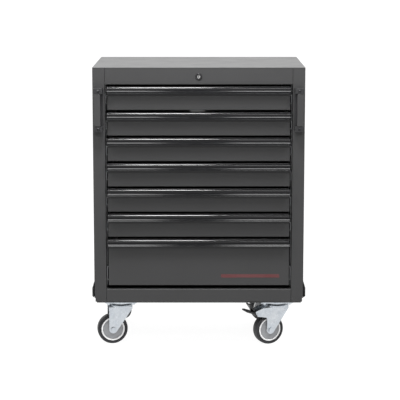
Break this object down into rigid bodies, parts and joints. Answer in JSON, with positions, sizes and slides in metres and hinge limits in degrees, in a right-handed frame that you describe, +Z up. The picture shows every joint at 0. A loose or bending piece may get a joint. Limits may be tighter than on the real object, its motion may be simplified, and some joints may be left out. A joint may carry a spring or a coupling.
{
  "type": "rolling tool chest",
  "caption": "Steel tool cabinet on swivel casters with full-width ball-slide drawers, a central lock, hooked drawer handles, front grips and side bumpers.",
  "frame": {"origin": "on the floor, below the middle of the chest's bounding box", "axes": "+Z up, the drawers open towards -Y, +X to the right as seen from the front"},
  "size_m": [0.6946, 0.49, 0.921],
  "materials": {
    "grey_paint": "satin powder coat",
    "gloss_black": "gloss",
    "black_plastic": "fine grain",
    "pedal_black": "satin",
    "zinc": "bright zinc plate",
    "slide_zinc": "zinc plate",
    "lock_metal": "satin nickel",
    "tyre_rubber": "smooth tread",
    "wheel_plastic": "satin moulded"
  },
  "bodies": {
    "cabinet": {"side_panel_left": "grey_paint", "front_post_left": "grey_paint", "slide_rack_left": "slide_zinc", "grip_bracket_left": "black_plastic", "grip_bar_left": "grey_paint", "bumper_left": "grey_paint", "bumper_strip_left": "black_plastic", "side_panel_right": "grey_paint", "front_post_right": "grey_paint", "slide_rack_right": "slide_zinc", "grip_bracket_right": "black_plastic", "grip_bar_right": "grey_paint", "bumper_right": "grey_paint", "bumper_strip_right": "black_plastic", "top_panel": "grey_paint", "back_panel": "grey_paint", "base_pan": "grey_paint", "top_rail": "grey_paint", "bottom_rail": "grey_paint", "base_channel_front": "grey_paint", "base_channel_rear": "grey_paint", "lock_housing": "lock_metal", "caster_front_left_plate": "zinc", "caster_front_right_plate": "zinc", "caster_rear_left_plate": "zinc", "caster_rear_right_plate": "zinc"},
    "lock_plug": {"lock_cylinder": "lock_metal"},
    "lock_bar": {"lock_bar": "slide_zinc"},
    "drawer_1": {"drawer_1_tray": "grey_paint", "drawer_1_handle": "gloss_black"},
    "drawer_2": {"drawer_2_tray": "grey_paint", "drawer_2_handle": "gloss_black"},
    "drawer_3": {"drawer_3_tray": "grey_paint", "drawer_3_handle": "gloss_black"},
    "drawer_4": {"drawer_4_tray": "grey_paint", "drawer_4_handle": "gloss_black"},
    "drawer_5": {"drawer_5_tray": "grey_paint", "drawer_5_handle": "gloss_black"},
    "drawer_6": {"drawer_6_tray": "grey_paint", "drawer_6_handle": "gloss_black"},
    "drawer_7": {"drawer_7_tray": "grey_paint", "drawer_7_handle": "gloss_black"},
    "fork_front_left": {"caster_front_left_fork": "zinc", "caster_front_left_axle": "zinc"},
    "wheel_front_left": {"caster_front_left_hub": "wheel_plastic", "caster_front_left_tyre": "tyre_rubber"},
    "fork_front_right": {"caster_front_right_fork": "zinc", "caster_front_right_axle": "zinc"},
    "wheel_front_right": {"caster_front_right_hub": "wheel_plastic", "caster_front_right_tyre": "tyre_rubber"},
    "pedal_front_right": {"caster_front_right_pedal": "pedal_black"},
    "fork_rear_left": {"caster_rear_left_fork": "zinc", "caster_rear_left_axle": "zinc"},
    "wheel_rear_left": {"caster_rear_left_hub": "wheel_plastic", "caster_rear_left_tyre": "tyre_rubber"},
    "fork_rear_right": {"caster_rear_right_fork": "zinc", "caster_rear_right_axle": "zinc"},
    "wheel_rear_right": {"caster_rear_right_hub": "wheel_plastic", "caster_rear_right_tyre": "tyre_rubber"},
    "pedal_rear_right": {"caster_rear_right_pedal": "pedal_black"}
  },
  "joints": [
    {"name": "lock_turn", "type": "hinge", "parent": "cabinet", "child": "lock_plug", "pos_m": [0, -0.215, 0.8915], "axis": [0, -1, 0], "range_deg": [0, 90]},
    {"name": "lock_bar_lift", "type": "slide", "parent": "cabinet", "child": "lock_bar", "axis": [0, 0, 1], "range_m": [0, 0.012]},
    {"name": "drawer_1_slide", "type": "slide", "parent": "cabinet", "child": "drawer_1", "axis": [0, -1, 0], "range_m": [0, 0.3]},
    {"name": "drawer_2_slide", "type": "slide", "parent": "cabinet", "child": "drawer_2", "axis": [0, -1, 0], "range_m": [0, 0.3]},
    {"name": "drawer_3_slide", "type": "slide", "parent": "cabinet", "child": "drawer_3", "axis": [0, -1, 0], "range_m": [0, 0.3]},
    {"name": "drawer_4_slide", "type": "slide", "parent": "cabinet", "child": "drawer_4", "axis": [0, -1, 0], "range_m": [0, 0.3]},
    {"name": "drawer_5_slide", "type": "slide", "parent": "cabinet", "child": "drawer_5", "axis": [0, -1, 0], "range_m": [0, 0.3]},
    {"name": "drawer_6_slide", "type": "slide", "parent": "cabinet", "child": "drawer_6", "axis": [0, -1, 0], "range_m": [0, 0.3]},
    {"name": "drawer_7_slide", "type": "slide", "parent": "cabinet", "child": "drawer_7", "axis": [0, -1, 0], "range_m": [0, 0.3]},
    {"name": "front_left_swivel", "type": "hinge", "parent": "cabinet", "child": "fork_front_left", "pos_m": [-0.257, -0.135, 0.1], "axis": [0, 0, 1], "continuous": true},
    {"name": "front_left_roll", "type": "hinge", "parent": "fork_front_left", "child": "wheel_front_left", "pos_m": [-0.28645, -0.14072, 0.05], "axis": [0.1908, -0.9816, 0], "continuous": true},
    {"name": "front_right_swivel", "type": "hinge", "parent": "cabinet", "child": "fork_front_right", "pos_m": [0.257, -0.135, 0.1], "axis": [0, 0, 1], "continuous": true},
    {"name": "front_right_roll", "type": "hinge", "parent": "fork_front_right", "child": "wheel_front_right", "pos_m": [0.22938, -0.14672, 0.05], "axis": [0.3907, -0.9205, 0], "continuous": true},
    {"name": "front_right_brake", "type": "hinge", "parent": "fork_front_right", "child": "pedal_front_right", "pos_m": [0.1852, -0.16548, 0.108], "axis": [0.3907, -0.9205, 0], "range_deg": [0, 14]},
    {"name": "rear_left_swivel", "type": "hinge", "parent": "cabinet", "child": "fork_rear_left", "pos_m": [-0.257, 0.165, 0.1], "axis": [0, 0, 1], "continuous": true},
    {"name": "rear_left_roll", "type": "hinge", "parent": "fork_rear_left", "child": "wheel_rear_left", "pos_m": [-0.2729, 0.19044, 0.05], "axis": [-0.848, -0.5299, 0], "continuous": true},
    {"name": "rear_right_swivel", "type": "hinge", "parent": "cabinet", "child": "fork_rear_right", "pos_m": [0.257, 0.165, 0.1], "axis": [0, 0, 1], "continuous": true},
    {"name": "rear_right_roll", "type": "hinge", "parent": "fork_rear_right", "child": "wheel_rear_right", "pos_m": [0.22737, 0.16031, 0.05], "axis": [0.1564, -0.9877, 0], "continuous": true},
    {"name": "rear_right_brake", "type": "hinge", "parent": "fork_rear_right", "child": "pedal_rear_right", "pos_m": [0.17996, 0.1528, 0.108], "axis": [0.1564, -0.9877, 0], "range_deg": [0, 14]}
  ],
  "couplings": [
    {"joint": "lock_turn", "follows": "lock_bar_lift", "rad_per_m": 130.89}
  ]
}
